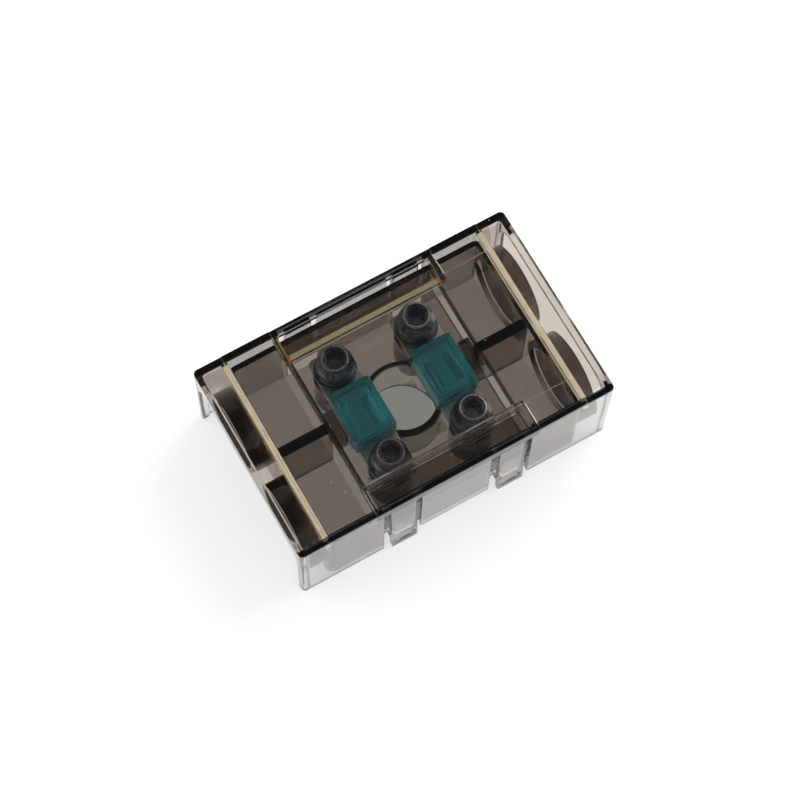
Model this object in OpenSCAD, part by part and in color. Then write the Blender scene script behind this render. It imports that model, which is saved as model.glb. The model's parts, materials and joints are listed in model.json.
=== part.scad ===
// Twin bolt-down fuse holder. A smoked base carries two fuses side by side, each
// clamped at both ends by a socket screw, and a smoked cover clips down over it.
// X runs from cable end to cable end, Y across, and Z up from the mounting surface.

/* [Cover] */
// Length of the cover
cover_l = 95; // [94:1:100]
// Width of the cover
cover_w = 59; // [59:0.5:62]
// Height of the cover
cover_h = 32; // [32:0.5:36]
// Thickness of the cover's side and end walls
cover_wall = 1.8; // [1.5:0.1:2]
// Thickness of the cover's top
cover_top = 2; // [1.6:0.1:2.2]
// Radius of the cover's upright corners
cover_corner = 1.4; // [1.2:0.1:3]
// Height of the end openings
arch_h = 28; // [26:0.5:28]
// Radius of the upper corners of the end openings
arch_corner = 7; // [4:0.5:9]

/* [Clips] */
// Distance from the middle of the cover to the middle of a clip
clip_x = 16.5; // [16:0.5:17]
// Width of a clip
clip_w = 7.8; // [7:0.1:8.2]
// Width of the slot on each side of a clip
clip_slot = 2; // [1.5:0.1:2]
// Thickness of a clip
clip_t = 1.6; // [1.4:0.1:1.7]
// How far a clip leans out at its foot
clip_splay = 1.2; // [0.6:0.1:1.4]

/* [Base] */
// Length of the base without its cable snouts
base_l = 78; // [77:1:79]
// Width of the base
base_w = 54.2; // [53:0.1:54.4]
// Height of the two end housings
housing_h = 26.5; // [26:0.25:27]
// Height of the deck that carries the fuses
deck_z = 18; // [17.5:0.25:18]
// Radius of a cable way
cable_r = 10.5; // [8:0.25:10.5]
// Radius of the round window in the deck
window_r = 9.35; // [8:0.05:9.4]
// Radius of a mounting hole
mount_r = 2.15; // [1.7:0.05:2.3]

/* [Fuses] */
// Distance between the two screws of one fuse
bolt_pitch = 30; // [30:0.5:31]
// Distance from the middle of the base to a fuse
fuse_x = 12.5; // [12.5:0.1:13]
// Length of a fuse body along X
fuse_l = 12.4; // [11:0.1:12.4]
// Width of a fuse body along Y
fuse_w = 16.3; // [15:0.1:16.5]
// Height of the top of a fuse body
fuse_top = 25; // [24:0.25:25.5]

/* [Screws] */
// Radius of the screw thread
thread_r = 3; // [3]
// Radius of the screw's flange
flange_r = 5.1; // [4.8:0.1:5.1]
// Outer radius of the rim round the socket
rim_r = 3.6; // [3.4:0.05:3.8]
// Height of the top of a screw
screw_top = 29.3; // [28.5:0.1:29.3]
// Width across flats of the hexagon socket
socket_af = 5; // [4:0.5:5]

/* [Hidden] */
$fn = 96;
eps = 0.01;
over = 1;
// gap between pieces that move past each other
gap = 0.3;
// corners and screws are numbered left to right, far side first
SIDES = [[-1, 1], [1, 1], [-1, -1], [1, -1]];

// cover
raise = 0.3;
plate_z = cover_h - cover_top;
band_z = 28;
panel_inset = 0.7;
guard_half = 24.5;
guard_y = 21.2;
guard_t = 1.3;
rib_x = 39;
rib_t = 1.5;
rib_z = 27;
slot_in = clip_x - clip_w / 2 - clip_slot;
slot_out = clip_x + clip_w / 2 + clip_slot;
leg_w = 2.4;

// clips: their faces, hook and thumb dimple
clip_top = band_z - gap;
clip_foot = 0.6;
clip_face = cover_w / 2 - gap;
hook_top = 7.8;
hook_low = 4.6;
hook_reach = 26.2;
dimple_r = 8;
dimple_deep = 0.5;
dimple_z = 6.5;

// base
base_wall = 1.2;
base_corner = 2.5;
floor_t = 1.2;
roof_t = 1.8;
deck_t = 2.5;
well_half = 22.5;
end_wall_t = 1.6;
shelf_y = 21.4;
shelf_t = 1.8;
partition_t = 3;
cable_y = 14.5;
cable_z = 14;
snout_l = 5.5;
snout_t = 1.5;
window_wall = 1.5;
mount_boss_r = 4;
screw_boss_r = 6;
post_l = 3.2;
post_w = 9;
post_z = 24;

// fuse stack, from the insert upwards
insert_r = 4.35;
insert_low = 9;
blade_z = deck_z + 0.6;
blade_t = 1;
blade_w = 11.4;
blade_l = bolt_pitch + 11.6;
link_w = 3.2;
link_l = 9;
screw_hole_r = thread_r + 0.2;
body_low_t = 1.4;
pocket_gap = 0.4;
body_shell = 1.6;
body_cave = 1.6;
body_corner = 1;
label_deep = 0.4;
washer_t = 1.2;
washer_r = 6;
spring_t = 1.35;
spring_r = 5.3;
spring_split = 1.4;
flange_z = blade_z + blade_t + washer_t + spring_t + 0.05;
shoulder_z = 25.6;
neck_z = 27.6;
neck_r = 3.9;
rim_chamfer = 0.35;
bowl_r = 3.15;
bowl_deep = 1;
socket_deep = 4;
thread_low = 10;

// flat slab with round upright corners
module slab(l, w, h, r) {
    linear_extrude(h) {
        square([l - 2 * r, w], center = true);
        square([l, w - 2 * r], center = true);
        for (sx = [-1, 1], sy = [-1, 1])
            translate([sx * (l / 2 - r), sy * (w / 2 - r)]) circle(r);
    }
}

// block between two corners
module block(low, high) {
    translate(low) cube(high - low);
}

// cable arch, cut through both ends along X
module arch_cut() {
    half = cover_w / 2 - leg_w;
    rotate([90, 0, 90]) linear_extrude(cover_l + 2 * over, center = true) {
        translate([-half, -over]) square([2 * half, arch_h - arch_corner + over]);
        translate([-half + arch_corner, 0]) square([2 * (half - arch_corner), arch_h]);
        for (s = [-1, 1])
            translate([s * (half - arch_corner), arch_h - arch_corner]) circle(arch_corner);
    }
}

module cover() {
    inner_y = cover_w / 2 - cover_wall;
    color([0.36, 0.33, 0.31, 0.6]) difference() {
        union() {
            difference() {
                slab(cover_l, cover_w, cover_h - raise, cover_corner);
                translate([0, 0, -over])
                    slab(cover_l - 2 * cover_wall, cover_w - 2 * cover_wall, plate_z + over, 1);
                arch_cut();
            }
            // raised panel, which stops short of the two clip zones
            block([-rib_x, -guard_y, plate_z + eps], [rib_x, guard_y, cover_h]);
            for (s = [-1, 1]) {
                translate([s * (guard_half + rib_x) / 2, 0, (plate_z + cover_h) / 2])
                    cube([rib_x - guard_half, cover_w, cover_h - plate_z - eps], center = true);
                // cross rib over the end of each housing
                translate([s * rib_x, 0, (rib_z + plate_z + eps) / 2])
                    cube([rib_t, 2 * inner_y + eps, plate_z + eps - rib_z], center = true);
                guard(s);
            }
        }
        // openings for the clips and the shallow panel between them
        for (s = [-1, 1]) {
            for (t = [-1, 1])
                translate([t * clip_x, s * (inner_y + cover_wall / 2), (band_z - over) / 2])
                    cube([slot_out - slot_in, cover_wall + 2 * eps + 0.4, band_z + over], center = true);
            translate([0, s * cover_w / 2, (band_z - over) / 2])
                cube([2 * slot_in + eps, 2 * panel_inset, band_z + over], center = true);
        }
    }
}

// three-sided rib that hangs from the cover behind one pair of clips
module guard(s) {
    inner_y = cover_w / 2 - cover_wall;
    h = plate_z + eps - rib_z;
    translate([0, s * (guard_y - guard_t / 2), rib_z + h / 2])
        cube([2 * guard_half, guard_t, h], center = true);
    for (t = [-1, 1])
        translate([t * (guard_half - guard_t / 2), s * (guard_y + inner_y) / 2, rib_z + h / 2])
            cube([guard_t, inner_y - guard_y + 2 * eps, h], center = true);
}

// clip at one corner: tapered tongue, inward hook and a round thumb dimple
module clip(side) {
    foot = clip_face + clip_splay;
    lean = clip_splay / (clip_top - clip_foot);
    hook_mid = clip_face - clip_t + lean * (clip_top - hook_top);
    color([0.36, 0.33, 0.31, 0.6]) translate([side.x * clip_x, 0, 0])
        scale_side(side.y) difference() {
            rotate([90, 0, 90]) linear_extrude(clip_w, center = true)
                polygon([
                    [clip_face, clip_top], [clip_face - clip_t, clip_top],
                    [hook_mid, hook_top], [hook_reach, hook_top], [hook_reach, hook_top - 1],
                    [foot - clip_t, hook_low], [foot - clip_t, clip_foot], [foot, clip_foot]
                ]);
            translate([0, foot - lean * dimple_z + dimple_r - dimple_deep, dimple_z]) sphere(dimple_r);
        }
}

// the near side is the far side turned over the middle plane
module scale_side(s) {
    if (s > 0) children();
    else mirror([0, 1, 0]) children();
}

// round post or tube from the mounting surface up
module post(p, r, h) {
    translate([p.x, p.y, 0]) cylinder(r = r, h = h);
}

module base() {
    half_y = base_w / 2 - base_wall;
    inner_x = well_half - eps;
    outer_x = base_l / 2 - end_wall_t;
    color([0.28, 0.26, 0.25, 0.7]) difference() {
        union() {
            difference() {
                slab(base_l, base_w, housing_h, base_corner);
                // well over the deck
                block([-well_half, -half_y, deck_z], [well_half, half_y, housing_h + over]);
                // hollow between the floor and the deck
                block([-well_half, -half_y, floor_t], [well_half, half_y, deck_z - deck_t]);
                for (s = [-1, 1], t = [-1, 1]) chamber(s, t, inner_x, outer_x, half_y);
            }
            // shelf along each side wall, behind the cover's guards
            for (s = [-1, 1])
                block_centre([0, s * (shelf_y + base_w / 2) / 2],
                    [2 * (well_half + eps), base_w / 2 - shelf_y], housing_h - shelf_t, housing_h);
            for (side = SIDES) {
                post([side.x * fuse_x, side.y * bolt_pitch / 2], screw_boss_r, deck_z);
                snout(side, base_l / 2 + snout_l, cable_r + snout_t);
            }
            for (s = [-1, 1]) {
                post([s * fuse_x, 0], mount_boss_r, deck_z - deck_t + eps);
                block_centre([s * (well_half - post_l / 2 + eps), 0], [post_l, post_w],
                    deck_z - eps, post_z);
            }
            post([0, 0], window_r + window_wall, deck_z);
        }
        translate([0, 0, floor_t]) post([0, 0], window_r, deck_z);
        for (s = [-1, 1]) {
            translate([0, 0, -over]) post([s * fuse_x, 0], mount_r, deck_z);
            // pocket that a fuse body sits in
            block_centre([s * fuse_x, 0], [fuse_l + 2 * pocket_gap, fuse_w + 2 * pocket_gap],
                blade_z - body_low_t - gap, deck_z + over);
        }
        for (side = SIDES) {
            translate([side.x * fuse_x, side.y * bolt_pitch / 2, insert_low])
                cylinder(r = insert_r + 0.05, h = deck_z);
            snout(side, base_l / 2 + snout_l + over, cable_r);
            // catch for the clip's hook
            block_centre([side.x * clip_x, side.y * base_w / 2], [clip_w + 2, 2 * base_wall + eps],
                -over, hook_top + gap);
        }
    }
}

// block centred on a point, between two heights
module block_centre(p, size, low, high) {
    translate([p.x, p.y, (low + high) / 2]) cube([size.x, size.y, high - low], center = true);
}

// chamber of one cable way, open towards its terminal above and below the deck
module chamber(s, t, inner_x, outer_x, half_y) {
    inner_y = partition_t / 2;
    roof = housing_h - roof_t;
    block_centre([s * (inner_x + outer_x) / 2, t * (inner_y + half_y) / 2],
        [outer_x - inner_x, half_y - inner_y], floor_t, roof);
}

// round cable snout, from inside the end wall to a given end
module snout(side, end, r) {
    start = base_l / 2 - end_wall_t - (r > cable_r ? 0 : eps);
    translate([side.x * start, side.y * cable_y, cable_z])
        rotate([0, side.x * 90, 0]) cylinder(r = r, h = end - start);
}

// metal strip of a fuse: two drilled blades and the narrow link between them
module element(s) {
    color([0.75, 0.72, 0.66]) translate([s * fuse_x, 0, blade_z]) difference() {
        slab(blade_w, blade_l, blade_t, 2);
        for (t = [-1, 1]) {
            translate([0, t * bolt_pitch / 2, -over]) cylinder(r = screw_hole_r, h = 3);
            block_centre([t * (blade_w + link_w) / 4, 0], [(blade_w - link_w) / 2 + eps, link_l],
                -over, blade_t + over);
        }
    }
}

// upper half of a fuse body: a cap with an arched label recess
module body_upper(s) {
    z = blade_z + blade_t;
    h = fuse_top - z;
    cave_w = fuse_w - 2 * body_shell;
    arch_r = 3.6;
    color([0.08, 0.45, 0.48, 0.8]) translate([s * fuse_x, 0, z]) difference() {
        slab(fuse_l, fuse_w, h, body_corner);
        translate([0, 0, -over]) slab(fuse_l - 2 * body_shell, cave_w, body_cave + over, 0.6);
        translate([0, 0, h - label_deep]) linear_extrude(over) {
            translate([0, 1.6]) circle(arch_r);
            translate([-arch_r, -cave_w / 2 + 1]) square([2 * arch_r, cave_w / 2 + 0.6]);
        }
    }
}

// lower half of a fuse body: a thin tray under the strip
module body_lower(s) {
    color([0.08, 0.45, 0.48, 0.8]) translate([s * fuse_x, 0, blade_z - body_low_t])
        slab(fuse_l, fuse_w, body_low_t, body_corner);
}

// put a child on one of the four terminals
module at_terminal(i) {
    translate([SIDES[i].x * fuse_x, SIDES[i].y * bolt_pitch / 2, 0]) children();
}

// socket screw: thread, flange, sloping shoulder and rim round the hexagon
module terminal_screw(i) {
    color([0.12, 0.12, 0.14]) at_terminal(i) difference() {
        rotate_extrude() polygon([
            [0, thread_low], [thread_r - 0.6, thread_low], [thread_r, thread_low + 0.6],
            [thread_r, flange_z], [flange_r, flange_z], [flange_r, shoulder_z],
            [neck_r, neck_z], [neck_r, screw_top - rim_chamfer], [rim_r, screw_top], [0, screw_top]
        ]);
        translate([0, 0, screw_top - socket_deep])
            cylinder(r = socket_af / 2 / cos(30), h = socket_deep + over, $fn = 6);
        translate([0, 0, screw_top - bowl_deep]) cylinder(r = bowl_r, h = bowl_deep + over);
    }
}

// split spring washer under the screw's flange
module spring_washer(i) {
    color([0.2, 0.2, 0.22]) at_terminal(i)
        translate([0, 0, blade_z + blade_t + washer_t]) difference() {
            cylinder(r = spring_r, h = spring_t);
            translate([0, 0, -over]) cylinder(r = screw_hole_r, h = 4);
            block_centre([SIDES[i].x * spring_r, 0], [spring_r, spring_split], -over, 3);
        }
}

// flat washer on the fuse blade
module flat_washer(i) {
    color([0.3, 0.3, 0.33]) at_terminal(i) translate([0, 0, blade_z + blade_t]) difference() {
        cylinder(r = washer_r, h = washer_t);
        translate([0, 0, -over]) cylinder(r = screw_hole_r, h = 4);
    }
}

// brass thread insert in its boss
module threaded_insert(i) {
    color([0.75, 0.6, 0.3]) at_terminal(i) translate([0, 0, insert_low]) difference() {
        cylinder(r = insert_r, h = blade_z - insert_low);
        translate([0, 0, -over]) cylinder(r = thread_r + 0.05, h = 20);
    }
}

cover();
clip(SIDES[0]);  // cover_clip_1
clip(SIDES[1]);  // cover_clip_2
clip(SIDES[2]);  // cover_clip_3
clip(SIDES[3]);  // cover_clip_4
base();
body_upper(-1);  // fuse_1_body_upper
body_lower(-1);  // fuse_1_body_lower
element(-1);  // fuse_1_element
body_upper(1);  // fuse_2_body_upper
body_lower(1);  // fuse_2_body_lower
element(1);  // fuse_2_element
for (i = [0:3]) {
    terminal_screw(i);
    spring_washer(i);
    flat_washer(i);
    threaded_insert(i);
}
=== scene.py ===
"""Twin bolt-down fuse holder: finishes, small moulded detail, stage and camera, built round its CAD frame."""
import json
import math

import bmesh
import bpy
import numpy as np
from mathutils import Matrix, Vector

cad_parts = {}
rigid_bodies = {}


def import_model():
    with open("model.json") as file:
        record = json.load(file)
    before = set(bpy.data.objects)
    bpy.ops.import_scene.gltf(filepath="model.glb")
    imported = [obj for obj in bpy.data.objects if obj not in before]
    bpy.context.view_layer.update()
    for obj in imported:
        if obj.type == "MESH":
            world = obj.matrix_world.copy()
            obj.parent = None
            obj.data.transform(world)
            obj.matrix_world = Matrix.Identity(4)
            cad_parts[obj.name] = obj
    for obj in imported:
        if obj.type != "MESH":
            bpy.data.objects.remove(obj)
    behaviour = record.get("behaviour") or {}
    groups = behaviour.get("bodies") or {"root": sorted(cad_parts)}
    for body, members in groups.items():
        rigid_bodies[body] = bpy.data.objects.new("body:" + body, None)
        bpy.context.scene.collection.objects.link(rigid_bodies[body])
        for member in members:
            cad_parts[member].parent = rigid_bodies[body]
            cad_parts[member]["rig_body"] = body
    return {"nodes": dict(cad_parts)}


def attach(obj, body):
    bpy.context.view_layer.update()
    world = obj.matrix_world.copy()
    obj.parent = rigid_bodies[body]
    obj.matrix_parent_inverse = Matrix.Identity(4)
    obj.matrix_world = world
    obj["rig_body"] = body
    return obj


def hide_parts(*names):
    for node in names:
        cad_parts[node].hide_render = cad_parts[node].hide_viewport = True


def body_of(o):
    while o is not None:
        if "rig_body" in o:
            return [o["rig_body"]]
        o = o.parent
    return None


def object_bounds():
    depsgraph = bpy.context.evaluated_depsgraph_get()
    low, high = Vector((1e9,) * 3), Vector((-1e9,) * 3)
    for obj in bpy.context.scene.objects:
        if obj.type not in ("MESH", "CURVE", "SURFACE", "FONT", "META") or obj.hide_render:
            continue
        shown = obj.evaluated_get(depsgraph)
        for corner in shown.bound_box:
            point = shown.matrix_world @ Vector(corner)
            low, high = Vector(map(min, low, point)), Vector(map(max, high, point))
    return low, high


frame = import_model()
cad_low, cad_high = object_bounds()
nodes = frame["nodes"]
MM = 0.001


# Stage: a pale table top that the holder lies on, with light all round it.
# The table is a plain matte sheet; the room is an even white surround.
def add(tree, kind, **values):
    """A node of one kind, with its settings and unlinked inputs filled in."""
    made = tree.nodes.new(kind)
    for name, value in values.items():
        if hasattr(made, name):
            setattr(made, name, value)
        else:
            made.inputs[name.replace("_", " ")].default_value = value
    return made


def math_node(tree, operation, *terms):
    """A Math node whose terms are sockets or plain numbers."""
    made = add(tree, "ShaderNodeMath", operation=operation)
    for place, term in enumerate(terms):
        if isinstance(term, (int, float)):
            made.inputs[place].default_value = term
        else:
            tree.links.new(term, made.inputs[place])
    return made.outputs[0]


def new_material(name):
    """An empty material and its output node."""
    mat = bpy.data.materials.new(name)
    mat.use_nodes = True
    mat.node_tree.nodes.clear()
    return mat, mat.node_tree, mat.node_tree.nodes.new("ShaderNodeOutputMaterial")


def seen_directly(tree):
    """One for rays from the eye, from glossy surfaces and through clear ones."""
    path = add(tree, "ShaderNodeLightPath")
    first = math_node(tree, "MAXIMUM", path.outputs["Is Camera Ray"], path.outputs["Is Glossy Ray"])
    return math_node(tree, "MAXIMUM", first, path.outputs["Is Transmission Ray"])


def table_material():
    """Matt white laminate: a faint grain in its colour, and its own brightness where it is seen."""
    mat, tree, out = new_material("pale_table")
    own = add(tree, "ShaderNodeEmission", Color=(1, 1, 1, 1), Strength=0.60)
    none = add(tree, "ShaderNodeEmission", Strength=0.0)
    lit = add(tree, "ShaderNodeBsdfDiffuse")
    grain = add(tree, "ShaderNodeTexNoise", Scale=900.0, Detail=3.0)
    tint = add(tree, "ShaderNodeValToRGB")
    tint.color_ramp.elements[0].color = (0.64, 0.64, 0.635, 1)
    tint.color_ramp.elements[1].color = (0.67, 0.67, 0.665, 1)
    where = add(tree, "ShaderNodeTexCoord")
    pick = add(tree, "ShaderNodeMixShader")
    total = add(tree, "ShaderNodeAddShader")
    tree.links.new(where.outputs["Object"], grain.inputs["Vector"])
    tree.links.new(grain.outputs["Fac"], tint.inputs["Fac"])
    tree.links.new(tint.outputs["Color"], lit.inputs["Color"])
    tree.links.new(seen_directly(tree), pick.inputs[0])
    tree.links.new(none.outputs[0], pick.inputs[1])
    tree.links.new(own.outputs[0], pick.inputs[2])
    tree.links.new(lit.outputs[0], total.inputs[0])
    tree.links.new(pick.outputs[0], total.inputs[1])
    tree.links.new(total.outputs[0], out.inputs["Surface"])
    return mat


def make_table(half=3.0):
    """A flat square sheet, just under the lowest point of the holder."""
    mesh = bpy.data.meshes.new("table_top")
    corners = np.array([[-1, -1], [1, -1], [1, 1], [-1, 1]], float) * half
    points = np.column_stack([corners, np.full(4, cad_low.z - 0.02 * MM)])
    mesh.from_pydata(points.tolist(), [], [(0, 1, 2, 3)])
    mesh.materials.append(table_material())
    top = bpy.data.objects.new("table_top", mesh)
    bpy.context.collection.objects.link(top)


make_table()

world = bpy.data.worlds.new("studio")
world.use_nodes = True
bpy.context.scene.world = world
tree = world.node_tree
tree.nodes.clear()
# the surround is bright from the horizon up and falls off to a dark ceiling
up_angle = add(tree, "ShaderNodeTexCoord")
split = add(tree, "ShaderNodeSeparateXYZ")
fade = add(tree, "ShaderNodeMapRange", interpolation_type="SMOOTHSTEP")
for socket, value in (("From Min", 0.55), ("From Max", 0.9), ("To Min", 0.95), ("To Max", 0.06)):
    fade.inputs[socket].default_value = value
surround = add(tree, "ShaderNodeBackground", Color=(0.95, 0.97, 1.0, 1))
bright = add(tree, "ShaderNodeBackground", Color=(1, 1, 1, 1), Strength=1.0)
choose = add(tree, "ShaderNodeMixShader")
path = add(tree, "ShaderNodeLightPath")
world_out = add(tree, "ShaderNodeOutputWorld")
tree.links.new(up_angle.outputs["Generated"], split.inputs[0])
tree.links.new(split.outputs["Z"], fade.inputs["Value"])
tree.links.new(fade.outputs["Result"], surround.inputs["Strength"])
tree.links.new(path.outputs["Is Camera Ray"], choose.inputs[0])
tree.links.new(surround.outputs[0], choose.inputs[1])
tree.links.new(bright.outputs[0], choose.inputs[2])
tree.links.new(choose.outputs[0], world_out.inputs["Surface"])


def soft_box(name, place, aim, size, power, colour):
    """A rectangular soft light at a place, turned towards a point."""
    lamp = bpy.data.lights.new(name, "AREA")
    lamp.shape = "RECTANGLE"
    lamp.size, lamp.size_y = size
    lamp.energy = power
    lamp.color = colour
    held = bpy.data.objects.new(name, lamp)
    held.location = place
    held.rotation_mode = "QUATERNION"
    held.rotation_quaternion = (Vector(aim) - Vector(place)).to_track_quat("-Z", "Y")
    bpy.context.collection.objects.link(held)


soft_box("key_right", (0.75, 0.15, 0.75), (0, 0, 0.01), (0.8, 0.8), 5.5, (1.0, 0.97, 0.93))
soft_box("fill_left", (-0.6, 0.5, 0.7), (0, 0, 0.01), (0.5, 0.5), 1.2, (0.95, 0.98, 1.0))


# Camera: close above the near left, looking steeply down at the cover.
def place_camera(azimuth=-31.74, elevation=70.17, roll=2.14, distance=0.6868, lens=114.4):
    """Stand the camera at two angles and a distance from the middle of the holder, and roll it."""
    a, e, r = (math.radians(v) for v in (azimuth, elevation, roll))
    back = Vector((math.sin(a) * math.cos(e), -math.cos(a) * math.cos(e), math.sin(e)))
    right = Vector((math.cos(a), math.sin(a), 0))
    up = back.cross(right)
    turned = math.cos(r) * right + math.sin(r) * up
    upright = math.cos(r) * up - math.sin(r) * right
    aim = Vector((-0.3 * MM, 1.05 * MM, 14.25 * MM))
    data = bpy.data.cameras.new("camera")
    data.lens = lens
    data.sensor_width = 36
    data.clip_start = 0.01
    eye = bpy.data.objects.new("camera", data)
    basis = Matrix((turned, upright, back)).transposed().to_4x4()
    eye.matrix_world = Matrix.Translation(aim + back * distance) @ basis
    bpy.context.collection.objects.link(eye)
    bpy.context.scene.camera = eye


place_camera()
scene = bpy.context.scene
scene.view_settings.view_transform = "Standard"
scene.cycles.max_bounces = 24
scene.cycles.transmission_bounces = 24
scene.cycles.glossy_bounces = 6


# Clear mouldings: polycarbonate with dye in it, so that a thin wall is a light tint and a
# long way through it is nearly black. Every face is polished in the tool.
def shader_group(name, takes, gives):
    """An empty node group with named sockets, and its input and output nodes."""
    made = bpy.data.node_groups.new(name, "ShaderNodeTree")
    for in_out, sockets in (("INPUT", takes), ("OUTPUT", gives)):
        for label, kind in sockets:
            made.interface.new_socket(label, in_out=in_out, socket_type="NodeSocket" + kind)
    return made, add(made, "NodeGroupInput"), add(made, "NodeGroupOutput")


def make_zone():
    """Group: one where |x|, |y| and |z| of the place all lie between Low and High, else nought."""
    tree, takes, gives = shader_group(
        "zone", [("Place", "Vector"), ("Low", "Vector"), ("High", "Vector")], [("Mask", "Float")])
    parts = []
    for label in ("Place", "Low", "High"):
        split = add(tree, "ShaderNodeSeparateXYZ")
        tree.links.new(takes.outputs[label], split.inputs[0])
        parts.append(split)
    mask = 1.0
    for axis in "XYZ":
        away = math_node(tree, "ABSOLUTE", parts[0].outputs[axis])
        past_low = math_node(tree, "GREATER_THAN", away, parts[1].outputs[axis])
        under_high = math_node(tree, "LESS_THAN", away, parts[2].outputs[axis])
        mask = math_node(tree, "MULTIPLY", mask, past_low)
        mask = math_node(tree, "MULTIPLY", mask, under_high)
    tree.links.new(mask, gives.inputs["Mask"])
    return tree


def make_moulding_skin():
    """Group: the slow flow ripple of a moulding, its polish, and fine dust that lies on upward faces."""
    tree, takes, gives = shader_group(
        "moulding_skin", [("Place", "Vector"), ("Facing", "Vector")],
        [("Height", "Float"), ("Polish", "Float"), ("Dust", "Float")])
    wave = add(tree, "ShaderNodeTexNoise", Scale=140.0, Detail=2.0, Roughness=0.4)
    fine = add(tree, "ShaderNodeTexNoise", Scale=2600.0, Detail=2.0)
    specks = add(tree, "ShaderNodeTexVoronoi", Scale=170.0)
    for texture in (wave, fine, specks):
        tree.links.new(takes.outputs["Place"], texture.inputs["Vector"])
    up = add(tree, "ShaderNodeSeparateXYZ")
    tree.links.new(takes.outputs["Facing"], up.inputs[0])
    small = math_node(tree, "LESS_THAN", specks.outputs["Distance"], 0.028)
    level = math_node(tree, "GREATER_THAN", up.outputs["Z"], 0.9)
    height = math_node(tree, "MULTIPLY_ADD", fine.outputs["Fac"], 0.08, wave.outputs["Fac"])
    tree.links.new(height, gives.inputs["Height"])
    tree.links.new(math_node(tree, "MULTIPLY", wave.outputs["Fac"], 0.03), gives.inputs["Polish"])
    tree.links.new(math_node(tree, "MULTIPLY", small, level), gives.inputs["Dust"])
    return tree


zone = make_zone()
moulding_skin = make_moulding_skin()


def moulded(name, dye, depth, zones=(), through=1.0, body=(1, 1, 1), ripple=0.02, dust_glow=0.0):
    """Clear plastic whose dye lets colour `dye` through one `depth` of material; each zone is a box (Low,
    High) where the surface takes a colour of its own, a painted shade in most zones. Dust specks glow with a
    painted light."""
    mat, tree, out = new_material(name)
    where = add(tree, "ShaderNodeTexCoord")
    skin = add(tree, "ShaderNodeGroup", node_tree=moulding_skin)
    tree.links.new(where.outputs["Object"], skin.inputs["Place"])
    tree.links.new(where.outputs["Normal"], skin.inputs["Facing"])
    bump = add(tree, "ShaderNodeBump", Strength=ripple, Distance=0.0004)
    clear = add(tree, "ShaderNodeBsdfPrincipled", IOR=1.58, Metallic=0.0)
    clear.inputs["Transmission Weight"].default_value = through
    colour = add(tree, "ShaderNodeMix", data_type="RGBA")
    colour.inputs["A"].default_value = (*body, 1)
    colour.inputs["Factor"].default_value = 0.0
    for low, high, tint in zones:
        there = add(tree, "ShaderNodeGroup", node_tree=zone, Low=Vector(low) * MM, High=Vector(high) * MM)
        tree.links.new(where.outputs["Object"], there.inputs["Place"])
        mixed = add(tree, "ShaderNodeMix", data_type="RGBA")
        mixed.inputs["B"].default_value = (*tint, 1)
        tree.links.new(there.outputs["Mask"], mixed.inputs["Factor"])
        tree.links.new(colour.outputs["Result"], mixed.inputs["A"])
        colour = mixed
    # the dust specks give off light of their own: real dust with a painted glow
    specks = math_node(tree, "MULTIPLY", skin.outputs["Dust"], dust_glow)
    tree.links.new(skin.outputs["Height"], bump.inputs["Height"])
    tree.links.new(skin.outputs["Polish"], clear.inputs["Roughness"])
    tree.links.new(colour.outputs["Result"], clear.inputs["Base Color"])
    tree.links.new(bump.outputs["Normal"], clear.inputs["Normal"])
    tree.links.new(specks, clear.inputs["Emission Color"])
    clear.inputs["Emission Strength"].default_value = 1.0
    tree.links.new(clear.outputs[0], out.inputs["Surface"])
    # the colour that is absorbed most sets the density, and the others are parts of it
    most = -math.log(min(dye)) / depth
    dyed = add(tree, "ShaderNodeVolumeAbsorption", Density=most)
    dyed.inputs["Color"].default_value = (*(1 + math.log(c) / depth / most for c in dye), 1)
    tree.links.new(dyed.outputs[0], out.inputs["Volume"])
    return mat


# Cover and its four clips: one smoke-grey shell, clear enough to see the fuses through. The ribs under its
# top are left matt by the tool, and their lower edges carry a painted glow in place of gathered light: pale
# cream over the housings and gold along the far guard, with a painted amber glint and painted shade near the
# guard's ends.
cover_smoke = moulded("cover_smoke", (0.82, 0.80, 0.78), 2 * MM, dust_glow=0.35, zones=[
    # painted shade, warm and darker, on the top past the end ribs; a cool grey tint on the side walls;
    # painted shade on the band over the clips; and painted near-black shade on the wall tops, for the dark of
    # a long way through the wall
    ((39.8, 0, 29.5), (60, 27, 33), (0.80, 0.74, 0.68)),
    ((0, 27.6, 0), (60, 31, 31), (0.84, 0.845, 0.86)),
    ((0, 27.6, 27.8), (24.5, 31, 31.2), (0.30, 0.295, 0.29)),
    ((0, 27.6, 31), (48, 31, 33), (0.03, 0.032, 0.04))])


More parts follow.
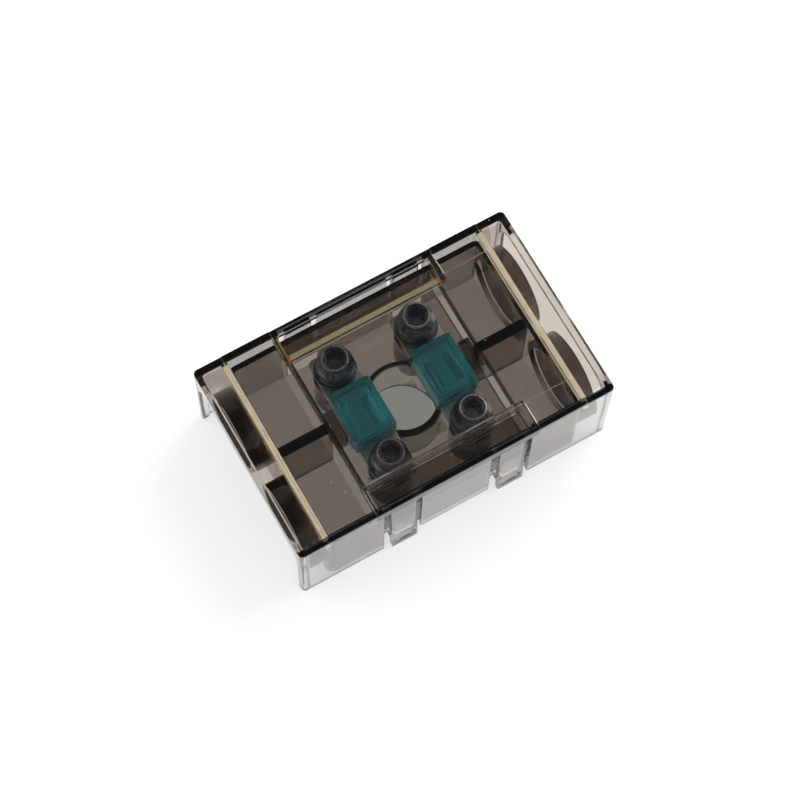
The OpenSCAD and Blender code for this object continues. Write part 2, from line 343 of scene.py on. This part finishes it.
def painted_rib_glow():
    """Matt plastic with a painted glow in cream or gold, a painted amber glint and painted dark shade, told
    apart by how far out along X the edge lies.
    """
    mat, tree, out = new_material("painted_rib_glow")
    where = add(tree, "ShaderNodeTexCoord")
    split = add(tree, "ShaderNodeSeparateXYZ")
    ramp_span = 50
    streak = add(tree, "ShaderNodeTexNoise", Scale=260.0, Detail=2.0)
    along = math_node(tree, "DIVIDE", math_node(tree, "ABSOLUTE", split.outputs["X"]), ramp_span * MM)
    tint = add(tree, "ShaderNodeValToRGB")
    tint.color_ramp.interpolation = "CONSTANT"
    # gold and cream are painted glow, amber is a painted glint, dark is painted shade
    gold, amber_glint, dark, cream = (0.46, 0.42, 0.26), (0.45, 0.20, 0.04), (0.03, 0.025, 0.02), (0.95, 0.86, 0.62)
    stops = [(0.0, gold), (22.4, amber_glint), (23.3, dark), (30.0, cream)]
    for place, (x, shade) in enumerate(stops):
        stop = tint.color_ramp.elements[0] if place == 0 else tint.color_ramp.elements.new(x / ramp_span)
        stop.position = x / ramp_span
        stop.color = (*shade, 1)
    tint.color_ramp.elements.remove(tint.color_ramp.elements[len(stops)])
    fade = add(tree, "ShaderNodeMix", data_type="RGBA", blend_type="MULTIPLY", Factor=0.35)
    matt_glow = add(tree, "ShaderNodeBsdfPrincipled", Roughness=0.55)
    # painted glow: the edge gives off light of its own in the ramp's colour
    matt_glow.inputs["Emission Strength"].default_value = 0.9
    tree.links.new(where.outputs["Object"], split.inputs[0])
    tree.links.new(where.outputs["Object"], streak.inputs["Vector"])
    tree.links.new(along, tint.inputs["Fac"])
    tree.links.new(tint.outputs["Color"], fade.inputs["A"])
    tree.links.new(streak.outputs["Fac"], fade.inputs["B"])
    tree.links.new(fade.outputs["Result"], matt_glow.inputs["Base Color"])
    tree.links.new(fade.outputs["Result"], matt_glow.inputs["Emission Color"])
    tree.links.new(matt_glow.outputs[0], out.inputs["Surface"])
    return mat


rib_glow_finish = painted_rib_glow()
rib_low = 27 * MM
guard_end = 30 * MM
hair = 0.1 * MM
turned = math.radians(35)


def rounded(name, mat, width, clamp=True):
    """The part with its welded mesh smoothed over curves and its sharp edges rounded by `width`."""
    source = nodes[name]
    shape = bmesh.new()
    shape.from_mesh(source.data)
    bmesh.ops.remove_doubles(shape, verts=shape.verts, dist=0.03 * MM)
    bmesh.ops.dissolve_limit(shape, angle_limit=math.radians(1), verts=shape.verts, edges=shape.edges)
    # the base's many-sided deck is cut up first, so that no rounded edge folds over it
    many_sided = [face for face in shape.faces if name == "base" and len(face.verts) > 4]
    bmesh.ops.triangulate(shape, faces=many_sided, ngon_method="EAR_CLIP")
    for edge in shape.edges:
        edge.smooth = edge.is_manifold and edge.calc_face_angle() < math.radians(30)
    for face in shape.faces:
        face.smooth = True
        middle = face.calc_center_median()
        # the ribs' lower faces, apart from those along the near guard, take the painted-glow material
        low_edge = abs(middle.z - rib_low) < hair and face.normal.z < -0.9
        near_guard = abs(middle.x) < guard_end and middle.y < 0
        face.material_index = int(name == "cover" and low_edge and not near_guard)
    mesh = bpy.data.meshes.new(name + "_finished")
    shape.to_mesh(mesh)
    shape.free()
    mesh.materials.append(mat)
    if name == "cover":
        mesh.materials.append(rib_glow_finish)
    piece = bpy.data.objects.new(name + "_finished", mesh)
    bpy.context.collection.objects.link(piece)
    edge_round = piece.modifiers.new("edges", "BEVEL")
    edge_round.width = width
    edge_round.segments = 2
    edge_round.limit_method = "ANGLE"
    edge_round.angle_limit = turned
    edge_round.use_clamp_overlap = clamp
    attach(piece, body_of(source)[0])
    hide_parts(name)


def named(word):
    """The frame's parts whose names hold a word, in the frame's order."""
    return [name for name in nodes if word in name]


rounded("cover", cover_smoke, 0.15 * MM, clamp=False)
for name in named("cover_clip"):
    rounded(name, cover_smoke, 0.15 * MM)


# Base: a darker smoke moulding with two cable housings, a deck for the fuses and a shelf behind each guard.
# Its snouts are tinted deepest, and its outer walls are darkened with painted shade.
base_smoke = moulded("base_smoke", (0.60, 0.56, 0.525), 2 * MM, ripple=0.008, zones=[
    # the snouts and the floor of the housings, tinted; then painted shade on the floor of the window, on the
    # outer side walls, on the ends of the well, and on the shelves
    ((39.3, 0, 0), (60, 30, 30), (0.16, 0.13, 0.12)),
    ((22.4, 0, -1), (39, 27, 1.3), (0.78, 0.75, 0.73)),
    ((-1, -1, -1), (9.2, 9.2, 1.3), (0.64, 0.69, 0.67)),
    ((-1, 26.9, 0), (39, 28, 24), (0.45, 0.43, 0.42)),
    ((22.3, 0, 15), (23.3, 30, 27), (0.22, 0.21, 0.21)),
    ((0, 21.3, 24), (22.6, 30, 27), (0.50, 0.45, 0.43))])
rounded("base", base_smoke, 0.15 * MM)


# Fuse bodies: two halves of cloudy teal plastic, closed round the metal strip.
# The upper half has an arched recess where a label would go.
fuse_teal = moulded(
    "fuse_teal", (0.34, 0.88, 0.92), 2.5 * MM, through=0.75, body=(0.24, 0.94, 1.0), ripple=0.25)
for name in named("body"):
    rounded(name, fuse_teal, 0.25 * MM)


# Fuse strips: plated metal, punched from sheet, drilled at both ends for the screws.
# Only the narrow link between the two blades lies inside the fuse body.
def make_metal_grain():
    """Group: slow blotches and nine times finer grain, as two masks, over a place in space."""
    tree, takes, gives = shader_group(
        "metal_grain", [("Place", "Vector"), ("Scale", "Float")], [("Blotch", "Float"), ("Grain", "Float")])
    blotch = add(tree, "ShaderNodeTexNoise", Detail=4.0)
    grain = add(tree, "ShaderNodeTexNoise", Detail=3.0)
    tree.links.new(takes.outputs["Scale"], blotch.inputs["Scale"])
    tree.links.new(math_node(tree, "MULTIPLY", takes.outputs["Scale"], 9.0), grain.inputs["Scale"])
    for texture in (blotch, grain):
        tree.links.new(takes.outputs["Place"], texture.inputs["Vector"])
    tree.links.new(blotch.outputs["Fac"], gives.inputs["Blotch"])
    tree.links.new(grain.outputs["Fac"], gives.inputs["Grain"])
    return tree


metal_grain = make_metal_grain()


def metal(name, colour, rough, worn, scale=420.0):
    """Metal with fine grain, blotchy colour between `colour` and `worn`, and uneven polish."""
    mat, tree, out = new_material(name)
    where = add(tree, "ShaderNodeTexCoord")
    skin = add(tree, "ShaderNodeGroup", node_tree=metal_grain, Scale=scale)
    tint = add(tree, "ShaderNodeMix", data_type="RGBA")
    tint.inputs["A"].default_value = (*colour, 1)
    tint.inputs["B"].default_value = (*worn, 1)
    spread = add(tree, "ShaderNodeMapRange")
    spread.inputs["To Min"].default_value = rough * 0.7
    spread.inputs["To Max"].default_value = rough * 1.4
    bump = add(tree, "ShaderNodeBump", Strength=0.15, Distance=0.05 * MM)
    shine = add(tree, "ShaderNodeBsdfPrincipled", Metallic=1.0)
    tree.links.new(where.outputs["Object"], skin.inputs["Place"])
    tree.links.new(skin.outputs["Blotch"], tint.inputs["Factor"])
    tree.links.new(skin.outputs["Grain"], spread.inputs["Value"])
    tree.links.new(skin.outputs["Grain"], bump.inputs["Height"])
    tree.links.new(tint.outputs["Result"], shine.inputs["Base Color"])
    tree.links.new(spread.outputs["Result"], shine.inputs["Roughness"])
    tree.links.new(bump.outputs["Normal"], shine.inputs["Normal"])
    tree.links.new(shine.outputs[0], out.inputs["Surface"])
    return mat


strip_plate = metal("strip_plate", (0.70, 0.66, 0.60), 0.30, (0.80, 0.77, 0.72))
for name in named("element"):
    rounded(name, strip_plate, 0.10 * MM)


# Screws: blackened steel socket screws, turned from bar. The rim round each socket is rubbed bright where the
# key goes in, and this bright ring is also a painted highlight, standing in for the light caught on the
# socket's edge.
screw_black = metal("screw_black", (0.17, 0.165, 0.20), 0.26, (0.26, 0.25, 0.29))
screw_at = {"X": 12.5 * MM, "Y": 15 * MM}


def rim_wear_and_highlight(mat, radius, half, low, bright=(0.85, 0.85, 0.88, 1)):
    """A bright ring of one radius, `half` wide each way, above height `low` on all four screws: worn metal
    and a painted highlight.
    """
    tree = mat.node_tree
    shine = next(n for n in tree.nodes if n.type == "BSDF_PRINCIPLED")
    where = add(tree, "ShaderNodeTexCoord")
    place = add(tree, "ShaderNodeSeparateXYZ")
    tree.links.new(where.outputs["Object"], place.inputs[0])
    flat = add(tree, "ShaderNodeCombineXYZ")
    for axis, middle in screw_at.items():
        away = math_node(tree, "ABSOLUTE", place.outputs[axis])
        tree.links.new(math_node(tree, "SUBTRACT", away, middle), flat.inputs[axis])
    out_from = add(tree, "ShaderNodeVectorMath", operation="LENGTH")
    tree.links.new(flat.outputs[0], out_from.inputs[0])
    near = math_node(tree, "COMPARE", out_from.outputs["Value"], radius, half)
    high = math_node(tree, "GREATER_THAN", place.outputs["Z"], low)
    tint = add(tree, "ShaderNodeMix", data_type="RGBA")
    tint.inputs["B"].default_value = bright
    was = shine.inputs["Base Color"].links[0].from_socket
    tree.links.new(math_node(tree, "MULTIPLY", near, high), tint.inputs["Factor"])
    tree.links.new(was, tint.inputs["A"])
    tree.links.new(tint.outputs["Result"], shine.inputs["Base Color"])


rim_wear_and_highlight(screw_black, radius=3.42 * MM, half=0.13 * MM, low=28.9 * MM)
for name in named("screw"):
    rounded(name, screw_black, 0.15 * MM)


# Washers: a split spring washer on a flat washer under each screw, both dark steel.
washer_dark = metal("washer_dark", (0.15, 0.15, 0.18), 0.32, (0.24, 0.24, 0.27))
for name in named("washer"):
    rounded(name, washer_dark, 0.20 * MM)


# Thread inserts: turned brass, pressed into the base's bosses under the fuse strips.
insert_brass = metal("insert_brass", (0.72, 0.52, 0.22), 0.28, (0.80, 0.62, 0.32))
for name in named("insert"):
    rounded(name, insert_brass, 0.15 * MM)
